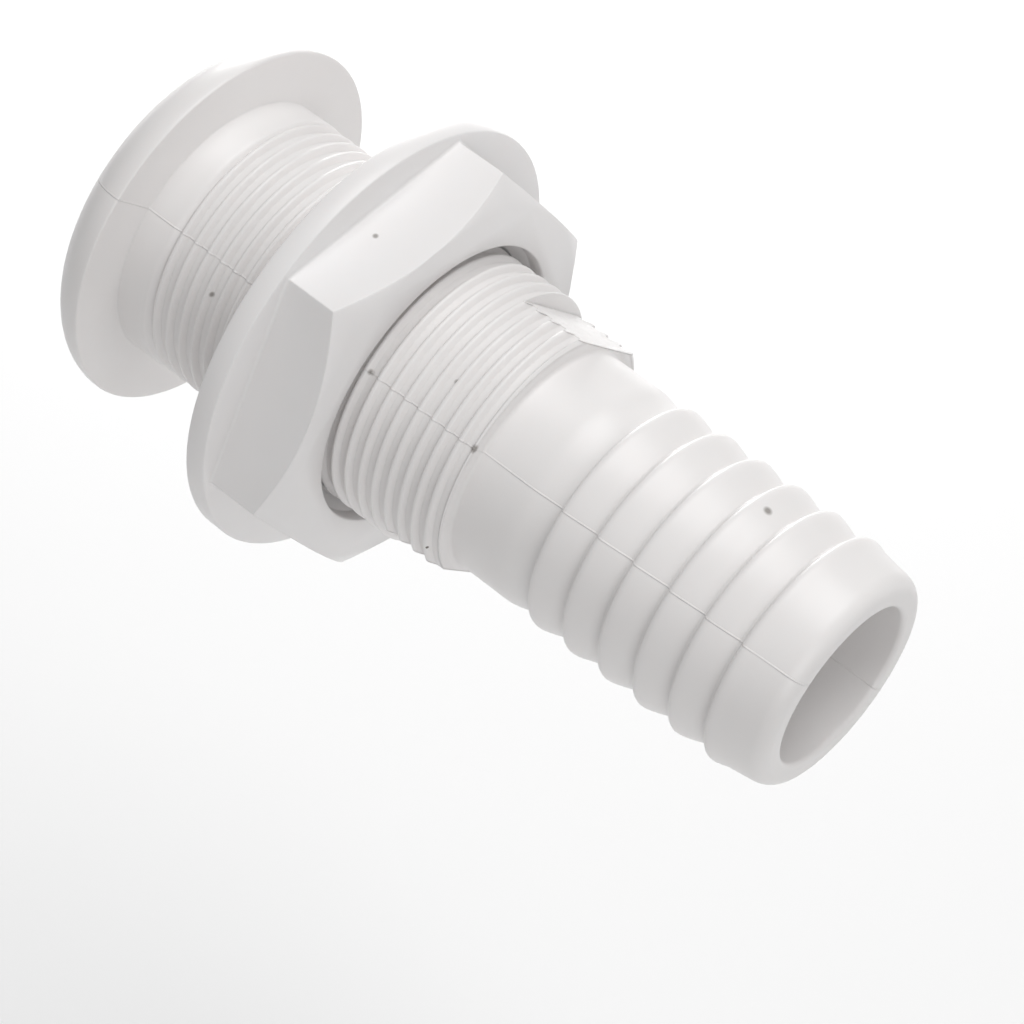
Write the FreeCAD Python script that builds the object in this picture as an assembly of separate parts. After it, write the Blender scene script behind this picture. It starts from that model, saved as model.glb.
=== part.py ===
import FreeCAD, Part
import math
import os

# Straight plastic thru hull for 38 mm (1 1/2 in) hose: a one-piece moulded fitting and its
# flanged backing nut.  Millimetres.  The origin is the centre of the head's sealing face, +X runs
# along the waterway from the head to the hose tail, +Z is up.

os.makedirs("parts", exist_ok=True)

# --- hose and waterway -----------------------------------------------------------------------
hose_d = 38.0                # bore of the hose this fitting takes: it drives every diameter
wall_inside_hose = 4.7       # hose bore to waterway, on each side
mouth_round = 0.9            # soft edge where the waterway meets the hose end
head_mouth_round = 2.0       # softer edge where the waterway opens in the crown of the head
bore_d = hose_d - 2 * wall_inside_hose

# --- outside thread and neck -----------------------------------------------------------------
thread_over_hose = 9.5       # thread diameter, more than the hose bore
neck_over_thread = 0.3       # neck diameter, more than the thread's
neck_length = 5.9            # plain neck before the thread runs in
thread_pitch = 25.4 / 9      # nine turns to the inch
thread_depth = 1.0
crest_width = 0.5
flank_angle = 30.0           # each flank, from square to the axis
run_in = 1.0                 # cone from the neck down to the thread's root
thread_end = 69.4            # sealing face to the last of the thread
first_crest = 7.6            # where the crest first crosses the mould line
mould_line_turn = 128.6      # mould line, degrees from +Y towards +Z
thread_d = hose_d + thread_over_hose
neck_d = thread_d + neck_over_thread

# --- mushroom head ---------------------------------------------------------------------------
head_overhang = 9.35         # sealing face beyond the thread, on each side
head_height = 11.0           # sealing face to crown
rim_land = 0.7               # narrow straight edge round the rim
crown_flat = 2.7             # flat of the crown round the waterway, inside the curved shoulder
head_d = thread_d + 2 * head_overhang
crown_d = bore_d + 2 * crown_flat

# --- collar and hose barbs -------------------------------------------------------------------
collar_over_hose = 2.4       # collar diameter, more than the hose bore
shoulder_round = 0.7         # hollow corner between the thread's end and the collar
collar_length = 10.6         # the collar is straight for this length, then falls like a barb
barb_count = 6
barb_run_in = 5.6            # collar's end to the first barb's edge
barb_pitch = 7.06
barb_over_hose = 3.2         # barb diameter, more than the hose bore
barb_root_under_hose = 0.2
barb_lead = 0.7              # steep side of a barb, measured along the axis
last_barb_length = 10.3      # last barb's edge to the hose end
tail_round = 3.2             # length over which the hose end rounds over
tail_round_over_hose = 0.8   # outside, where the end starts to round over
tail_ring = 2.4              # width of the flat ring at the hose end
collar_d = hose_d + collar_over_hose
collar_end = thread_end + collar_length
first_barb = collar_end + barb_run_in
barb_d = hose_d + barb_over_hose
barb_root_d = hose_d - barb_root_under_hose
tail_end = first_barb + (barb_count - 1) * barb_pitch + last_barb_length
tail_round_start = tail_end - tail_round
tail_round_d = hose_d + tail_round_over_hose
tail_face_d = bore_d + 2 * tail_ring

# --- wrench flats ----------------------------------------------------------------------------
flat_above_collar = 0.8
flats_length = 11.4          # from the thread's end back towards the head
flats_across = collar_d + 2 * flat_above_collar
flats_start = thread_end - flats_length

# --- backing nut -----------------------------------------------------------------------------
nut_position = 30.8          # sealing face to the nut's bearing face, as fitted
nut_wall = 8.95              # thread to the hexagon's flats
flange_width = 6.4           # flange beyond the hexagon's flats, on each side
flange_thickness = 3.9
nut_length = 16.7
corner_chamfer = 3.4         # length of the chamfer at the hexagon's corners
nut_turn = 58.4              # first hexagon corner, degrees from +Y towards +Z
recess_gap = 2.0             # clear opening round the thread at the open end
recess_depth = 2.6
recess_cone = 1.6            # lead-in from the opening to the inside thread
seat_recess_gap = 1.85       # gap round the thread in the shallow recess of the bearing face
seat_recess_depth = 1.4
nut_across_flats = thread_d + 2 * nut_wall
flange_d = nut_across_flats + 2 * flange_width
recess_d = thread_d + 2 * recess_gap
seat_recess_d = thread_d + 2 * seat_recess_gap

# --- clearances ------------------------------------------------------------------------------
thread_clearance = 0.30      # nut thread to fitting thread, crest to root
flank_clearance = 0.28       # square to the flanks
lead_ring_clearance = 0.35   # lead ring to the fitting's thread
lead_ring_wall = 0.6
lead_ring_width = 0.9

# --- derived ---------------------------------------------------------------------------------
flank_slope = math.tan(math.radians(flank_angle))
thread_r = thread_d / 2
root_r = thread_r - thread_depth
neck_r = neck_d / 2
bore_r = bore_d / 2
nut_end = nut_position + nut_length
hex_start = nut_position + flange_thickness
nut_corner_r = nut_across_flats / 2 / math.cos(math.radians(30))
nut_root_r = thread_r + thread_clearance
nut_crest_r = root_r + thread_clearance
# half of the fitting's groove where the nut's crest and root run, less the flank clearance
groove_half = (thread_pitch - crest_width) / 2 - thread_depth * flank_slope
side_gap = flank_clearance / math.cos(math.radians(flank_angle))
nut_crest_half = groove_half + thread_clearance * flank_slope - side_gap
nut_root_half = nut_crest_half + (nut_root_r - nut_crest_r) * flank_slope
nut_thread_start = nut_position + seat_recess_depth
nut_thread_end = nut_end - recess_depth - recess_cone
EMBED = 0.3                  # how far each thread ridge is rooted in its wall
AXIS = FreeCAD.Vector(1, 0, 0)
ORIGIN = FreeCAD.Vector(0, 0, 0)


def point(x, r):
    return FreeCAD.Vector(x, r, 0)


def line(start, end):
    return Part.makeLine(point(*start), point(*end))


def arc(start, middle, end):
    return Part.Arc(point(*start), point(*middle), point(*end)).toShape()


def polyline(*places):
    return [line(a, b) for a, b in zip(places, places[1:])]


def turned(edges):
    """Solid of revolution about the axis from a closed outline of edges."""
    face = Part.Face(Part.Wire(edges))
    return face.revolve(ORIGIN, AXIS, 360)


def about_axis(shape, degrees):
    shape.rotate(ORIGIN, AXIS, degrees)
    return shape


def helical_ridge(start_x, turns, inner, outer, inner_half, outer_half):
    """Ridge of straight-sided section wound right-handed about +X.

    Its middle crosses the direction -Z at start_x, and every turn after that."""
    radius = (inner + outer) / 2
    path = Part.makeHelix(thread_pitch, turns * thread_pitch, radius)
    corners = [
        FreeCAD.Vector(inner, 0, -inner_half),
        FreeCAD.Vector(outer, 0, -outer_half),
        FreeCAD.Vector(outer, 0, outer_half),
        FreeCAD.Vector(inner, 0, inner_half),
    ]
    section = Part.makePolygon(corners + corners[:1])
    ridge = Part.Wire(path.Edges).makePipeShell([section], True, True)
    ridge.rotate(ORIGIN, FreeCAD.Vector(0, 1, 0), 90)
    ridge.translate(FreeCAD.Vector(start_x, 0, 0))
    return ridge


# Where a crest crosses -Z, the direction in which helical_ridge starts.
crest_at_start = first_crest - thread_pitch * (mould_line_turn + 90) / 360

# --- fitting body ----------------------------------------------------------------------------
head_r = head_d / 2
crown_r = crown_d / 2
shoulder = Part.Ellipse(
    point(-rim_land, head_r),
    point(-head_height, crown_r),
    point(-rim_land, crown_r),
)
shoulder_edge = Part.ArcOfEllipse(shoulder, 0, math.pi / 2).toShape()
slant = math.sqrt(0.5)

outline = [line((0, neck_r), (0, head_r)), line((0, head_r), (-rim_land, head_r)), shoulder_edge]
crown_edge = (-head_height, bore_r + head_mouth_round)
outline += [line((-head_height, crown_r), crown_edge)]
outline += [
    arc(
        crown_edge,
        (-head_height + head_mouth_round * (1 - slant), bore_r + head_mouth_round * (1 - slant)),
        (-head_height + head_mouth_round, bore_r),
    )
]
outline += [line((-head_height + head_mouth_round, bore_r), (tail_end - mouth_round, bore_r))]
mouth_edge = (tail_end, bore_r + mouth_round)
outline += [
    arc(
        (tail_end - mouth_round, bore_r),
        (tail_end - mouth_round * (1 - slant), bore_r + mouth_round * (1 - slant)),
        mouth_edge,
    )
]
tail_face_r = tail_face_d / 2
tail_round_r = tail_round_d / 2
outline += [line(mouth_edge, (tail_end, tail_face_r))]
outline += [
    arc(
        (tail_end, tail_face_r),
        (
            tail_end - (tail_end - tail_round_start) * (1 - slant),
            tail_face_r + (tail_round_r - tail_face_r) * slant,
        ),
        (tail_round_start, tail_round_r),
    )
]

# Barbs, from the hose end back to the collar.  Each has a steep side towards the head, a softly
# rounded crest and a long slope down towards the hose end.
barb_r = barb_d / 2
barb_root_r = barb_root_d / 2
crest_rise = (barb_r - barb_root_r) * 0.65
here = (tail_round_start, tail_round_r)
for number in reversed(range(barb_count)):
    edge = first_barb + number * barb_pitch
    back = (edge + 1.3, barb_r - 0.06)
    front = (edge + 0.02, barb_root_r + crest_rise)
    foot = (edge - barb_lead, barb_root_r)
    outline += [line(here, back), arc(back, (edge + 0.5, barb_r), front), line(front, foot)]
    here = foot
collar_r = collar_d / 2
outline += [line(here, (collar_end, collar_r))]
corner_x = thread_end + shoulder_round
outline += [line((collar_end, collar_r), (corner_x, collar_r))]
outline += [
    arc(
        (corner_x, collar_r),
        (thread_end + shoulder_round * (1 - slant), collar_r + shoulder_round * (1 - slant)),
        (thread_end, collar_r + shoulder_round),
    )
]
outline += polyline(
    (thread_end, collar_r + shoulder_round),
    (thread_end, root_r),
    (neck_length + run_in, root_r),
    (neck_length, neck_r),
    (0, neck_r),
)
body = turned(outline)

# Thread ridge: it grows out of the neck, is bevelled off at the tail end and stops just short of
# the tube's shoulder.
ridge_start = crest_at_start - thread_pitch
ridge = helical_ridge(
    ridge_start,
    math.ceil((thread_end - ridge_start) / thread_pitch) + 1,
    root_r - EMBED,
    thread_r,
    crest_width / 2 + (thread_depth + EMBED) * flank_slope,
    crest_width / 2,
)
ridge_room = turned(
    polyline(
        (0.5, root_r - 2),
        (0.5, thread_r + 1),
        (thread_end - 1.2, thread_r + 1),
        (thread_end - 0.05, root_r + 0.35),
        (thread_end - 0.05, root_r - 2),
        (0.5, root_r - 2),
    )
)
body = body.fuse(ridge.common(ridge_room))

# Wrench flats, square to the mould line, just above the collar.
for side in (90, 270):
    cutter = Part.makeBox(
        thread_end + 2 - flats_start,
        thread_d,
        thread_d,
        FreeCAD.Vector(flats_start, flats_across / 2, -thread_r),
    )
    body = body.cut(about_axis(cutter, mould_line_turn + side))

# --- backing nut -----------------------------------------------------------------------------
hexagon_points = [
    FreeCAD.Vector(hex_start, nut_corner_r * math.cos(turn), nut_corner_r * math.sin(turn))
    for turn in [math.radians(60 * n) for n in range(7)]
]
hexagon = Part.Face(Part.makePolygon(hexagon_points)).extrude(
    FreeCAD.Vector(nut_length - flange_thickness, 0, 0)
)
chamfer_slope = corner_chamfer / (nut_corner_r - nut_across_flats / 2)
far_r = nut_corner_r + 5
chamfer_cone = turned(
    polyline(
        (hex_start - 5, 0),
        (hex_start - 5, far_r),
        (nut_end - (far_r - nut_across_flats / 2) * chamfer_slope, far_r),
        (nut_end, nut_across_flats / 2),
        (nut_end, 0),
        (hex_start - 5, 0),
    )
)
flange = Part.makeCylinder(flange_d / 2, flange_thickness, point(nut_position, 0), AXIS)
nut = flange.fuse(hexagon.common(chamfer_cone)).removeSplitter()
nut_bore = turned(
    polyline(
        (nut_position - 1, 0),
        (nut_position - 1, seat_recess_d / 2),
        (nut_thread_start, seat_recess_d / 2),
        (nut_thread_start, nut_root_r),
        (nut_thread_end, nut_root_r),
        (nut_end - recess_depth, recess_d / 2),
        (nut_end + 1, recess_d / 2),
        (nut_end + 1, 0),
        (nut_position - 1, 0),
    )
)
nut = about_axis(nut.cut(nut_bore), nut_turn)

# The nut's own ridge runs in the middle of the fitting's groove.
turns_before = math.floor((nut_thread_start - crest_at_start) / thread_pitch) - 1
nut_ridge = helical_ridge(
    crest_at_start + (turns_before + 0.5) * thread_pitch,
    math.ceil((nut_thread_end - nut_thread_start) / thread_pitch) + 3,
    nut_crest_r,
    nut_root_r + EMBED,
    nut_crest_half,
    nut_root_half + EMBED * flank_slope,
)
nut_ridge_room = turned(
    polyline(
        (nut_thread_start, nut_root_r + 1),
        (nut_thread_start, nut_root_r - 0.2),
        (nut_thread_start + 1, nut_crest_r - 1),
        (nut_thread_end - 1, nut_crest_r - 1),
        (nut_thread_end, nut_root_r - 0.2),
        (nut_thread_end, nut_root_r + 1),
        (nut_thread_start, nut_root_r + 1),
    )
)
nut = nut.fuse(nut_ridge.common(nut_ridge_room))

# --- lead ring -------------------------------------------------------------------------------
# Not a piece of the real fitting: it stands in for the nut's travel along the thread, hidden in
# the recess of the nut's bearing face.
lead_r = thread_r + lead_ring_clearance
lead_x = nut_position + (seat_recess_depth - lead_ring_width) / 2
nut_lead = Part.makeCylinder(lead_r + lead_ring_wall, lead_ring_width, point(lead_x, 0), AXIS)
nut_lead = nut_lead.cut(Part.makeCylinder(lead_r, lead_ring_width, point(lead_x, 0), AXIS))

for name, shape in (("body", body), ("nut", nut), ("nut_lead", nut_lead)):
    if shape.ShapeType == "Compound" and len(shape.Solids) == 1:
        shape = shape.Solids[0]
    print(name, shape.ShapeType, len(shape.Solids), shape.isValid(), round(shape.Volume, 1))
    shape.exportStep("parts/" + name + ".step")
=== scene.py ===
# %% [markdown]
# # A plastic thru hull fitting
# The real thing is two mouldings: a mushroom-headed tube with a long thread and a hose tail, and
# a flanged nut that screws along it.  Both are rebuilt here with soft moulded edges around the
# frame that the CAD part gives.  Everything is in metres, +X runs from the head to the hose tail.

# %% Load the frame
import bpy
import math
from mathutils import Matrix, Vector


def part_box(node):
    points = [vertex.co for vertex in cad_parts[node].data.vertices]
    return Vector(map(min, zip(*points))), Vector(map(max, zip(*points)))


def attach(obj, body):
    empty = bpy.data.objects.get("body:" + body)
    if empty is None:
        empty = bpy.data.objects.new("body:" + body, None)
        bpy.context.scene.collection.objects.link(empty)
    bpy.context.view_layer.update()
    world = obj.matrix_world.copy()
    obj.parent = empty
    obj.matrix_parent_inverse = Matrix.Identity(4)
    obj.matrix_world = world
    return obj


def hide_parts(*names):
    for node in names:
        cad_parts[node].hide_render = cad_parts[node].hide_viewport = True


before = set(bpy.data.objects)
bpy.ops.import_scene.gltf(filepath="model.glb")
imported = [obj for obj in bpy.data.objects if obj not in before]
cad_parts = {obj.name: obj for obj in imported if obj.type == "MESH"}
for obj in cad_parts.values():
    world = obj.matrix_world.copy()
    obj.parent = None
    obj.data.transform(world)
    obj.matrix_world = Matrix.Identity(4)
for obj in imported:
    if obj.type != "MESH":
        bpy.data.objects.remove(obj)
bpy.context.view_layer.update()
body_low, body_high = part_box("body")
nut_low, nut_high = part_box("nut")

# %% [markdown]
# ## Working by hand in code
# Each piece is shaped in edit mode, as at the keyboard.  An operator acts on everything that is
# selected, so each step starts from nothing selected and picks its faces or edges by place.

# %% Small helpers for the hands
MM = 0.001


def begin():
    """Leave edit mode with nothing selected."""
    if bpy.context.object and bpy.context.object.mode != "OBJECT":
        bpy.ops.object.mode_set(mode="OBJECT")
    bpy.ops.object.select_all(action="DESELECT")


def pick(piece):
    begin()
    piece.select_set(True)
    bpy.context.view_layer.objects.active = piece
    return piece


def settle(piece):
    """Put the piece's place into its mesh, so that its object sits at the origin."""
    pick(piece)
    bpy.ops.object.transform_apply(location=True, rotation=True, scale=True)


def outward(piece):
    pick(piece)
    bpy.ops.object.mode_set(mode="EDIT")
    bpy.ops.mesh.select_all(action="SELECT")
    bpy.ops.mesh.remove_doubles(threshold=1e-6)
    bpy.ops.mesh.normals_make_consistent(inside=False)
    bpy.ops.object.mode_set(mode="OBJECT")


def combine(piece, other, how):
    """Join, subtract or intersect two closed shapes, and throw the second away."""
    pick(piece)
    step = piece.modifiers.new("combine", "BOOLEAN")
    step.operation = how
    step.solver = "EXACT"
    step.object = other
    bpy.ops.object.modifier_apply(modifier="combine")
    bpy.data.objects.remove(other)


# %% [markdown]
# ## Turning on the lathe
# Most of a thru hull is round about its waterway.  A ring is added square to +X and then pulled
# out and scaled from station to station, which is how a lathe outline grows by extrusion.  The
# outline is a closed loop, so the last ring lands on the first and the two are merged.

# %% Pull a ring along an outline
RING = 192


def turn_outline(name, stations, ring=RING):
    """stations are (distance along X, radius) in millimetres, round a closed loop."""
    begin()
    x, r = stations[0]
    bpy.ops.mesh.primitive_circle_add(
        vertices=ring, radius=r * MM, location=(x * MM, 0, 0), rotation=(0, math.pi / 2, 0)
    )
    piece = bpy.context.object
    piece.name = piece.data.name = name
    settle(piece)
    bpy.ops.object.mode_set(mode="EDIT")
    bpy.ops.mesh.select_all(action="SELECT")
    for next_x, next_r in stations[1:] + stations[:1]:
        bpy.ops.mesh.extrude_edges_move(
            TRANSFORM_OT_translate={"value": ((next_x - x) * MM, 0, 0)}
        )
        grow = next_r / r
        bpy.ops.transform.resize(value=(1, grow, grow), center_override=(next_x * MM, 0, 0))
        x, r = next_x, next_r
    outward(piece)
    return piece


def bend(centre, radius_x, radius_r, start, end, steps=6):
    """Points on a quarter round: start and end are angles in degrees, 0 along +X, 90 outwards."""
    points = []
    for step in range(steps + 1):
        angle = math.radians(start + (end - start) * step / steps)
        points.append(
            (centre[0] + radius_x * math.cos(angle), centre[1] + radius_r * math.sin(angle))
        )
    return points


# %% [markdown]
# ## The fitting's outline
# The head is a low dome with a flat crown and a thin rim.  The neck is plain, the threaded part is
# turned to the root of its thread, and the hose tail has six barbs: steep towards the head so
# that the hose can't slide back, a soft crest, and a long slope that the hose climbs over.

# %% Stations of the fitting
HEAD_HEIGHT = -body_low.x / MM
TAIL_END = body_high.x / MM
HEAD_R = body_high.y / MM
BORE_R, NECK_R, ROOT_R, CREST_R = 14.3, 23.9, 22.75, 23.75
COLLAR_R, BARB_R, BARB_ROOT_R = 20.2, 20.6, 18.9
NECK_LENGTH, THREAD_END, COLLAR_END = 5.9, 69.4, 80.0
FIRST_BARB, BARB_PITCH, BARBS = 85.6, 7.06, 6
PITCH = 25.4 / 9

outline = bend((-0.35, HEAD_R - 0.3), 0.3, 0.3, 0, 90, 3)
outline += bend((-0.7, 17.0), HEAD_HEIGHT - 0.7, HEAD_R - 17.0, 91, 180, 22)
outline += bend((2.0 - HEAD_HEIGHT, BORE_R + 2.0), 2.0, 2.0, 180, 270)
outline += [(20, BORE_R), (60, BORE_R), (100, BORE_R)]
outline += bend((TAIL_END - 0.9, BORE_R + 0.9), 0.9, 0.9, 270, 360)
outline += bend((TAIL_END - 3.2, 16.7), 3.2, 2.7, 4, 78, 10)
for number in reversed(range(BARBS)):
    edge = FIRST_BARB + number * BARB_PITCH
    outline += [(edge + 3.0, BARB_R - 0.58), (edge + 1.7, BARB_R - 0.17)]
    outline += [(edge + 1.1, BARB_R - 0.03), (edge + 0.6, BARB_R), (edge + 0.2, BARB_R - 0.16)]
    outline += [(edge - 0.05, BARB_R - 0.5), (edge - 0.3, BARB_R - 1.1)]
    outline += [(edge - 0.55, BARB_ROOT_R + 0.15), (edge - 1.0, BARB_ROOT_R)]
outline += [(COLLAR_END + 1.2, COLLAR_R - 0.27), (COLLAR_END, COLLAR_R - 0.04)]
outline += [(COLLAR_END - 1.2, COLLAR_R), (THREAD_END + 0.7, COLLAR_R)]
outline += bend((THREAD_END + 0.7, COLLAR_R + 0.7), 0.7, 0.7, 250, 190, 3)
outline += [(THREAD_END, ROOT_R - 0.4), (THREAD_END - 0.3, ROOT_R)]
outline += [(50, ROOT_R), (30, ROOT_R), (NECK_LENGTH + 1.3, ROOT_R)]
outline += [(NECK_LENGTH + 0.9, ROOT_R + 0.12), (NECK_LENGTH + 0.2, NECK_R - 0.2)]
outline += [(NECK_LENGTH - 0.3, NECK_R), (0.35, NECK_R)]
outline += [(0.1, NECK_R + 0.1), (0.0, NECK_R + 0.35)]
fitting = turn_outline("fitting_moulding", outline)
print("turned fitting", len(fitting.data.polygons), "faces")

# %% [markdown]
# ## The outside thread
# A thread is one small section wound along a helix.  Here a plane is shaped to the section of the
# ridge, its outer corners are rounded, and a Screw modifier winds it.  The ridge is rooted a
# little into the wall and then joined to it.

# %% Wind a ridge
MOULD_LINE = math.radians(128.6)   # where the two halves of the mould meet, from +Y towards +Z
FIRST_CREST = 7.6                  # where the thread's crest first crosses the mould line
WIND = 96


def wind_ridge(name, x, turn, turns, inner, outer, inner_half, outer_half, round_off):
    """A right-handed ridge about +X that starts at x (mm), in the direction turn."""
    begin()
    bpy.ops.mesh.primitive_plane_add(size=1, location=(0, 0, 0))
    ridge = bpy.context.object
    ridge.name = ridge.data.name = name
    for vertex in ridge.data.vertices:
        out = vertex.co.y > 0
        half = outer_half if out else inner_half
        side = 1 if vertex.co.x > 0 else -1
        radius = outer if out else inner
        vertex.co = (side * half * MM, radius * MM, 0)
    bpy.ops.object.mode_set(mode="EDIT")
    bpy.ops.mesh.select_mode(type="VERT")
    bpy.ops.mesh.select_all(action="DESELECT")
    bpy.ops.object.mode_set(mode="OBJECT")
    tip = outer if outer_half < inner_half else inner
    for vertex in ridge.data.vertices:
        vertex.select = abs(vertex.co.y / MM - tip) < 1e-3
    bpy.ops.object.mode_set(mode="EDIT")
    bpy.ops.mesh.bevel(offset=round_off * MM, segments=2, affect="VERTICES")
    bpy.ops.mesh.select_all(action="SELECT")
    bpy.ops.mesh.delete(type="ONLY_FACE")
    bpy.ops.mesh.select_all(action="SELECT")
    bpy.ops.transform.rotate(value=-turn, orient_axis="X", center_override=(0, 0, 0))
    bpy.ops.transform.translate(value=(x * MM, 0, 0))
    bpy.ops.object.mode_set(mode="OBJECT")
    winding = ridge.modifiers.new("winding", "SCREW")
    winding.axis = "X"
    winding.angle = math.tau
    winding.screw_offset = PITCH * MM
    winding.iterations = turns
    winding.steps = winding.render_steps = WIND
    bpy.ops.object.modifier_apply(modifier="winding")
    bpy.ops.object.mode_set(mode="EDIT")
    bpy.ops.mesh.select_all(action="SELECT")
    bpy.ops.mesh.remove_doubles(threshold=1e-7)
    bpy.ops.mesh.select_all(action="DESELECT")
    bpy.ops.mesh.select_non_manifold()
    bpy.ops.mesh.fill_holes(sides=0)
    outward(ridge)
    return ridge


thread = wind_ridge(
    "thread", FIRST_CREST - PITCH, MOULD_LINE, 24, ROOT_R - 0.3, CREST_R, 1.0, 0.27, 0.16
)

# %% [markdown]
# ## Finishing the thread and its wrench flats
# On the real moulding the last turn is bevelled, and two flats square to the mould line are cut
# across the end of the thread for a wrench.  The ridge is trimmed with a turned collar of its own,
# joined to the tube, and two blocks then cut the flats with a clean end wall.

# %% Trim and join the thread, then cut the flats
room = turn_outline(
    "thread_room",
    [(2, 20), (2, 26), (THREAD_END - 1.2, 24.2), (THREAD_END - 0.02, ROOT_R + 0.1),
     (THREAD_END - 0.02, 20)],
    96,
)
combine(thread, room, "INTERSECT")
combine(fitting, thread, "UNION")

FLAT_LEVEL, FLATS_START = 21.0, 58.0
width, length = 30, THREAD_END + 0.02 - FLATS_START
for side in (90, 270):
    begin()
    bpy.ops.mesh.primitive_cube_add(size=1, location=(0, 0, 0))
    block = bpy.context.object
    block.scale = (length * MM, 6 * MM, width * MM)
    block.location = ((FLATS_START + length / 2) * MM, (FLAT_LEVEL + 3) * MM, 0)
    settle(block)
    block.rotation_euler.x = MOULD_LINE + math.radians(side)
    settle(block)
    combine(fitting, block, "DIFFERENCE")
outward(fitting)
print("fitting", len(fitting.data.polygons), "faces")

# %% [markdown]
# ## The backing nut
# The nut is a round flange with a hexagon on it.  The hexagon is a six-sided prism, and a turned
# shape trims it: a cone at the outer corners, which leaves the curved edge on each flat, and the
# stepped bore inside, wide at the opening and narrower at the thread.  The flange is turned.

# %% Hexagon, chamfer and flange
NUT_START, NUT_END = nut_low.x / MM, nut_high.x / MM
FLANGE_R, FLANGE = 39.1, 3.9
FLAT_R, CORNER_CHAMFER = 32.7, 3.4
CORNER_R = FLAT_R / math.cos(math.radians(30))
NUT_TURN = math.radians(58.4)
HEX_START = NUT_START + FLANGE

begin()
bpy.ops.mesh.primitive_cylinder_add(
    vertices=6,
    radius=CORNER_R * MM,
    depth=(NUT_END - HEX_START + 1) * MM,
    location=((HEX_START + NUT_END - 1) / 2 * MM, 0, 0),
    rotation=(0, math.pi / 2, 0),
)
nut = bpy.context.object
nut.name = nut.data.name = "backing_nut"
settle(nut)
corner = max(nut.data.vertices, key=lambda v: v.co.z).co
nut.rotation_euler.x = NUT_TURN - math.atan2(corner.z, corner.y)
settle(nut)
slope = CORNER_CHAMFER / (CORNER_R - FLAT_R)
RECESS_R, NUT_ROOT_R, NUT_CREST_R = 25.75, 24.05, 23.05
THREAD_IN, THREAD_OUT = NUT_START + 1.4, NUT_END - 4.2
cone = turn_outline(
    "corner_cone",
    [(HEX_START - 0.8, NUT_ROOT_R), (HEX_START - 0.8, 45),
     (NUT_END - (45 - FLAT_R) * slope, 45), (NUT_END, FLAT_R), (NUT_END, RECESS_R + 0.4),
     (NUT_END - 0.15, RECESS_R + 0.12), (NUT_END - 0.5, RECESS_R), (NUT_END - 2.6, RECESS_R),
     (THREAD_OUT, NUT_ROOT_R)],
)
combine(nut, cone, "INTERSECT")
flange = turn_outline(
    "flange",
    [(NUT_START, 25.85), (NUT_START, FLANGE_R - 0.4), (NUT_START + 0.12, FLANGE_R - 0.12),
     (NUT_START + 0.4, FLANGE_R), (HEX_START - 0.4, FLANGE_R), (HEX_START - 0.12, FLANGE_R - 0.12),
     (HEX_START, FLANGE_R - 0.4), (HEX_START, 28), (HEX_START - 0.5, NUT_ROOT_R + 0.02),
     (THREAD_IN, NUT_ROOT_R + 0.02), (THREAD_IN, 25.6), (NUT_START + 0.3, 25.6)],
)
combine(nut, flange, "UNION")


def merge_close(piece):
    """Merge points that a cut has left on top of each other."""
    pick(piece)
    bpy.ops.object.mode_set(mode="EDIT")
    bpy.ops.mesh.select_all(action="SELECT")
    bpy.ops.mesh.remove_doubles(threshold=0.01 * MM)
    bpy.ops.mesh.dissolve_degenerate(threshold=0.01 * MM)
    bpy.ops.mesh.quads_convert_to_tris(quad_method="BEAUTY", ngon_method="BEAUTY")
    bpy.ops.mesh.normals_make_consistent(inside=False)
    bpy.ops.object.mode_set(mode="OBJECT")


merge_close(nut)
outward(nut)
print("nut blank", len(nut.data.polygons), "faces")

# %% [markdown]
# ## Soft corners on the nut
# Moulded plastic has no sharp edges.  The hollow corner between hexagon and flange is the widest,
# so its edges are picked by place and bevelled.  The rim is already round in the flange's outline,
# and the narrow rounds on the hexagon's own edges are left to the finish.

# %% Round the nut's edges
pick(nut)
bpy.ops.object.mode_set(mode="EDIT")
bpy.ops.mesh.select_mode(type="EDGE")
bpy.ops.mesh.select_all(action="SELECT")
bpy.ops.mesh.dissolve_limited(angle_limit=math.radians(0.5))
bpy.ops.mesh.select_all(action="DESELECT")
bpy.ops.object.mode_set(mode="OBJECT")


HOLLOW_CORNER = 0.65               # small enough to stay on the flange's flat face


def reach(vertex):
    """Distance of a point from the axis, in millimetres."""
    return math.hypot(vertex.co.y, vertex.co.z) / MM


points = nut.data.vertices
for edge in nut.data.edges:
    ends = [points[i] for i in edge.vertices]
    edge.select = all(abs(v.co.x / MM - HEX_START) < 0.01 and reach(v) < FLANGE_R - 1 for v in ends)
print("hollow corner edges", sum(e.select for e in nut.data.edges))
bpy.ops.object.mode_set(mode="EDIT")
bpy.ops.mesh.bevel(offset=HOLLOW_CORNER * MM, segments=5, affect="EDGES", clamp_overlap=True)
bpy.ops.object.mode_set(mode="OBJECT")
merge_close(nut)

# %% [markdown]
# ## The nut's inside thread
# The ridge inside the nut runs in the middle of the fitting's groove, half a pitch away from its
# crest.

# %% Wind the nut's ridge
start = FIRST_CREST + PITCH * (math.floor((THREAD_IN - FIRST_CREST) / PITCH) - 0.5)
nut_ridge = wind_ridge(
    "nut_thread", start, MOULD_LINE, 7, NUT_CREST_R, NUT_ROOT_R + 0.3, 0.37, 1.12, 0.12
)
nut_room = turn_outline(
    "nut_thread_room",
    [(THREAD_IN, 25), (THREAD_IN, NUT_ROOT_R - 0.1), (THREAD_IN + 1, 22),
     (THREAD_OUT - 1, 22), (THREAD_OUT, NUT_ROOT_R - 0.1), (THREAD_OUT, 25)],
    96,
)
outward(nut_ridge)
combine(nut_ridge, nut_room, "INTERSECT")
outward(nut_ridge)
pick(nut)
nut_ridge.select_set(True)
bpy.ops.object.join()
outward(nut)
print("nut", len(nut.data.polygons), "faces")

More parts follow.
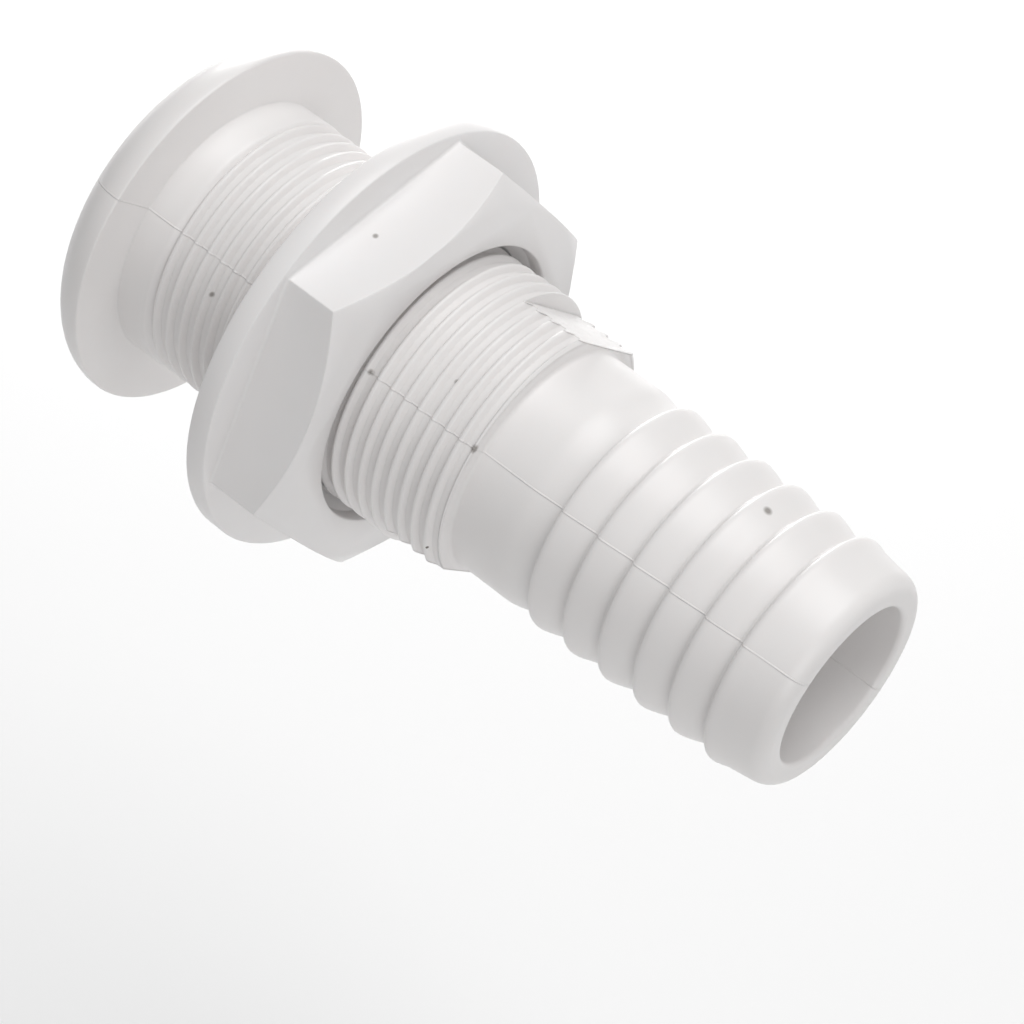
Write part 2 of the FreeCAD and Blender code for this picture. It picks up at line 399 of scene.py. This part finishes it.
# %% [markdown]
# ## Shading and riding
# Both mouldings are shaded smooth except over their real edges, and each rides on its body: the
# nut's piece also stands for the hidden ring that carries its travel.

# %% Hand the pieces to the frame
for piece, angle in ((fitting, 38), (nut, 35)):
    pick(piece)
    bpy.ops.object.mode_set(mode="EDIT")
    bpy.ops.mesh.select_all(action="SELECT")
    if piece is fitting:
        bpy.ops.mesh.remove_doubles(threshold=0.004 * MM)
        bpy.ops.mesh.dissolve_degenerate(threshold=0.004 * MM)
        bpy.ops.mesh.normals_make_consistent(inside=False)
    else:
        bpy.ops.mesh.dissolve_limited(angle_limit=math.radians(0.5))
    bpy.ops.mesh.select_mode(type="EDGE")
    bpy.ops.mesh.select_all(action="DESELECT")
    bpy.ops.mesh.select_non_manifold()
    bpy.ops.object.mode_set(mode="OBJECT")
    print(piece.name, "open edges", sum(e.select for e in piece.data.edges))
    bpy.ops.object.shade_smooth_by_angle(angle=math.radians(angle))
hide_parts("body")
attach(fitting, "fitting")
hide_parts("nut", "nut_lead")
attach(nut, "backing_nut")

# %% [markdown]
# ## White moulded nylon
# Thru hulls like this are injection moulded in white, UV-stable nylon.  The tool's satin finish
# gives a soft, slightly broken highlight, and the resin has faint cloudy variation and a few dark
# specks.  Light enters it a little, so its shade stays soft.

# %% Colour and node helpers
def colour(code):
    """An sRGB hex value turned to linear."""
    parts = [int(code[i:i + 2], 16) / 255 for i in (1, 3, 5)]
    return [c / 12.92 if c <= 0.04045 else ((c + 0.055) / 1.055) ** 2.4 for c in parts] + [1]


def node(tree, kind, settings=None, **links):
    """Add a node with its settings and inputs: an input is a value or another node's socket."""
    made = tree.nodes.new(kind)
    for name, value in (settings or {}).items():
        setattr(made, name, value)
    for name, value in links.items():
        socket = made.inputs[int(name[1:])] if name[0] == "i" and name[1:].isdigit() else (
            made.inputs[name.replace("_", " ")])
        if isinstance(value, bpy.types.NodeSocket):
            tree.links.new(value, socket)
        else:
            socket.default_value = value
    return made


def per_metre(millimetres):
    """Noise scale that gives features of about this size."""
    return 1000 / millimetres


# %% [markdown]
# ## What the surface pattern is made of
# The mould line is a hairline ridge where the two halves of the tool met: it runs the length of
# the fitting, on both sides.  The neck and thread carry faint rings left when the thread's core
# was unwound, and the wrench flats are rough where they were cut.

# %% Build the finish
def moulded_nylon(name, base, shade, line_at, cut_flats, marks):
    material = bpy.data.materials.new(name)
    material.use_nodes = True
    tree = material.node_tree
    skin = tree.nodes["Principled BSDF"]
    skin.inputs["IOR"].default_value = 1.53
    skin.inputs["Subsurface Weight"].default_value = 0.12
    skin.inputs["Subsurface Radius"].default_value = (1.0, 0.9, 0.85)
    skin.inputs["Subsurface Scale"].default_value = 0.0015
    place = node(tree, "ShaderNodeTexCoord").outputs["Object"]
    turned = node(
        tree, "ShaderNodeMapping", Vector=place, Rotation=(-line_at, 0, 0)
    ).outputs[0]
    axes = node(tree, "ShaderNodeSeparateXYZ", Vector=turned).outputs

    cloud = node(
        tree, "ShaderNodeTexNoise", Vector=place, Scale=per_metre(14), Detail=3.0
    ).outputs[0]
    tint = node(tree, "ShaderNodeMix", {"data_type": "RGBA"}, i0=cloud)
    tint.inputs[6].default_value = colour(base)
    tint.inputs[7].default_value = colour(shade)

    # Specks of burnt resin, about 0.3 mm across and a few centimetres apart.
    cells = node(tree, "ShaderNodeTexVoronoi", Vector=place, Scale=per_metre(7.5))
    near = node(tree, "ShaderNodeMath", {"operation": "LESS_THAN"},
                i0=cells.outputs["Distance"], i1=0.042)
    pick_few = node(tree, "ShaderNodeSeparateXYZ", Vector=cells.outputs["Color"]).outputs[0]
    few = node(tree, "ShaderNodeMath", {"operation": "LESS_THAN"}, i0=pick_few, i1=0.10)
    speck = node(tree, "ShaderNodeMath", {"operation": "MULTIPLY"},
                 i0=near.outputs[0], i1=few.outputs[0])
    specked = node(tree, "ShaderNodeMix", {"data_type": "RGBA"}, i0=speck.outputs[0])
    tree.links.new(tint.outputs[2], specked.inputs[6])
    specked.inputs[7].default_value = colour("#6E6862")
    tinted = specked.outputs[2]
    for along, turn, radius, level in marks:
        place_of_mark = (along * MM, level * MM * math.cos(turn), level * MM * math.sin(turn))
        away = node(tree, "ShaderNodeVectorMath", {"operation": "DISTANCE"},
                    i0=place, i1=place_of_mark)
        spot = node(tree, "ShaderNodeMapRange", Value=away.outputs["Value"],
                    From_Min=radius * MM * 0.4, From_Max=radius * MM, To_Min=0.75, To_Max=0.0)
        marked = node(tree, "ShaderNodeMix", {"data_type": "RGBA"}, i0=spot.outputs[0])
        tree.links.new(tinted, marked.inputs[6])
        marked.inputs[7].default_value = colour("#77706A")
        tinted = marked.outputs[2]
    tree.links.new(tinted, skin.inputs["Base Color"])

    # Satin: the roughness drifts a little from place to place.
    drift = node(
        tree, "ShaderNodeTexNoise", Vector=place, Scale=per_metre(6), Detail=2.0
    ).outputs[0]
    satin = node(tree, "ShaderNodeMapRange", Value=drift, To_Min=0.30, To_Max=0.42)
    tree.links.new(satin.outputs[0], skin.inputs["Roughness"])

    # Fine texture of the tool, half a millimetre so that it shows.
    grain = node(
        tree, "ShaderNodeTexNoise", Vector=place, Scale=per_metre(0.5), Detail=2.0
    ).outputs[0]
    rounded = node(tree, "ShaderNodeBevel", {"samples": 6}, Radius=0.0004).outputs[0]
    texture = node(tree, "ShaderNodeBump", Height=grain, Strength=0.05, Distance=0.00005,
                   Normal=rounded)
    normal = texture.outputs[0]

    if cut_flats:
        # Distance from the mould plane, 0.12 mm wide with a softly broken height.
        off = node(tree, "ShaderNodeMath", {"operation": "ABSOLUTE"}, i0=axes[2])
        line = node(tree, "ShaderNodeMapRange", Value=off.outputs[0], From_Min=0.00007,
                    From_Max=0.00018, To_Min=1.0, To_Max=0.0)
        broken = node(tree, "ShaderNodeTexNoise", Vector=place, Scale=per_metre(5)).outputs[0]
        height = node(tree, "ShaderNodeMath", {"operation": "MULTIPLY"},
                      i0=line.outputs[0], i1=broken)
        seam = node(tree, "ShaderNodeBump", Height=height.outputs[0], Strength=1.0,
                    Distance=0.00018, Normal=normal)
        # Rings on the neck and thread, a few to the millimetre.
        rings = node(tree, "ShaderNodeTexNoise", {"noise_dimensions": "1D"}, W=axes[0],
                     Scale=per_metre(0.35), Detail=1.0).outputs[0]
        turned_rings = node(tree, "ShaderNodeBump", Height=rings, Strength=0.08,
                            Distance=0.00004, Normal=seam.outputs[0])
        # Cut flats: coarse tearing where the blade went, only on the two flats.
        on_flat = node(tree, "ShaderNodeMapRange", Value=off.outputs[0], From_Min=0.0208,
                       From_Max=0.02095)
        not_above = node(tree, "ShaderNodeMath", {"operation": "LESS_THAN"},
                         i0=off.outputs[0], i1=0.0212)
        past = node(tree, "ShaderNodeMath", {"operation": "GREATER_THAN"}, i0=axes[0], i1=0.0578)
        before = node(tree, "ShaderNodeMath", {"operation": "LESS_THAN"}, i0=axes[0], i1=0.0696)
        span = node(tree, "ShaderNodeMath", {"operation": "MULTIPLY"},
                    i0=past.outputs[0], i1=before.outputs[0])
        flat = node(tree, "ShaderNodeMath", {"operation": "MULTIPLY"},
                    i0=on_flat.outputs[0], i1=not_above.outputs[0])
        area = node(tree, "ShaderNodeMath", {"operation": "MULTIPLY"},
                    i0=span.outputs[0], i1=flat.outputs[0])
        tears = node(tree, "ShaderNodeTexNoise", Vector=place, Scale=per_metre(2.2), Detail=4.0,
                     Distortion=1.2).outputs[0]
        torn = node(tree, "ShaderNodeMath", {"operation": "MULTIPLY"}, i0=area.outputs[0], i1=tears)
        final = node(tree, "ShaderNodeBump", Height=torn.outputs[0], Strength=0.9,
                     Distance=0.0006, Normal=turned_rings.outputs[0])
        normal = final.outputs[0]
    tree.links.new(normal, skin.inputs["Normal"])
    return material


# Dirt caught where it is easy to catch: on the mould line and against a barb.  Each mark is its
# place along the axis in mm, its turn about it, its radius in mm and its distance from the axis.
body_marks = [
    (48.0, MOULD_LINE, 0.7, 23.2),
    (69.3, MOULD_LINE, 0.9, 22.9),
    (109.7, math.radians(72), 0.9, 20.0),
    (112.9, math.radians(67), 0.7, 20.4),
    (60.4, math.radians(112), 0.6, 23.0),
    (16.8, math.radians(142), 0.6, 23.0),
]
nut_marks = [(38.5, math.radians(95), 0.6, 32.9)]
body_nylon = moulded_nylon(
    "moulded_white_nylon_body", "#EDEBEA", "#E8E5E4", MOULD_LINE, True, body_marks
)
nut_nylon = moulded_nylon("moulded_white_nylon_nut", "#EDECEC", "#E9E6E5", 0.0, False, nut_marks)
fitting.data.materials.clear()
fitting.data.materials.append(body_nylon)
nut.data.materials.clear()
nut.data.materials.append(nut_nylon)
for name, finish in (("body", body_nylon), ("nut", nut_nylon), ("nut_lead", nut_nylon)):
    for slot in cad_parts[name].material_slots:
        slot.material = finish
print("materials", [m.name for m in (body_nylon, nut_nylon)])

# %% [markdown]
# ## Floor, light and camera
# A pale floor, one wide soft lamp overhead, a weaker one on the camera's side and a small one low
# down that only brightens the floor.  The camera is a long lens well above the fitting, looking
# down from the hose end's side.

# %% Floor
begin()
bpy.ops.mesh.primitive_plane_add(size=1.6, location=(-0.03, 0.1, nut_low.z - 0.2))
floor = bpy.context.object
floor.name = "floor"
paper = bpy.data.materials.new("pale_matt_paper")
paper.use_nodes = True
paper.node_tree.nodes["Principled BSDF"].inputs["Base Color"].default_value = colour("#FBFBFB")
paper.node_tree.nodes["Principled BSDF"].inputs["Roughness"].default_value = 0.9
floor.data.materials.append(paper)


# %% Lamps
def soft_lamp(name, place, aim, size, power):
    begin()
    bpy.ops.object.light_add(type="AREA", location=place)
    lamp = bpy.context.object
    lamp.name = name
    lamp.data.shape = "DISK"
    lamp.data.size = size
    lamp.data.energy = power
    lamp.rotation_euler = (Vector(aim) - Vector(place)).to_track_quat("-Z", "Y").to_euler()
    return lamp


centre = Vector((0.06, 0, 0))
soft_lamp("overhead", (0.12, 0.34, 0.85), centre, 0.75, 4.7)
soft_lamp("camera_side", (0.75, -0.45, 0.45), centre, 0.7, 1.7)
FLOOR_SPOT = Vector((-0.03, 0.14, nut_low.z - 0.2))
soft_lamp("backdrop", (-0.45, 0.5, -0.02), FLOOR_SPOT, 0.3, 2.4)
world = bpy.data.worlds.new("studio")
bpy.context.scene.world = world
world.use_nodes = True
world.node_tree.nodes["Background"].inputs["Color"].default_value = (1, 1, 1, 1)
world.node_tree.nodes["Background"].inputs["Strength"].default_value = 0.42

# %% Camera
CAMERA_PLACE = Vector((0.2854, -0.2434, 0.4597))
LOOK = Vector((-0.3810, 0.41874, -0.82432))
begin()
bpy.ops.object.camera_add(location=CAMERA_PLACE)
camera = bpy.context.object
camera.rotation_euler = LOOK.to_track_quat("-Z", "Y").to_euler()
camera.data.sensor_width = 36
camera.data.lens = 126.5
camera.data.clip_start = 0.01
camera.data.dof.use_dof = False
bpy.context.scene.camera = camera
bpy.context.scene.view_settings.view_transform = "Standard"

# %% Finish
bpy.context.view_layer.update()
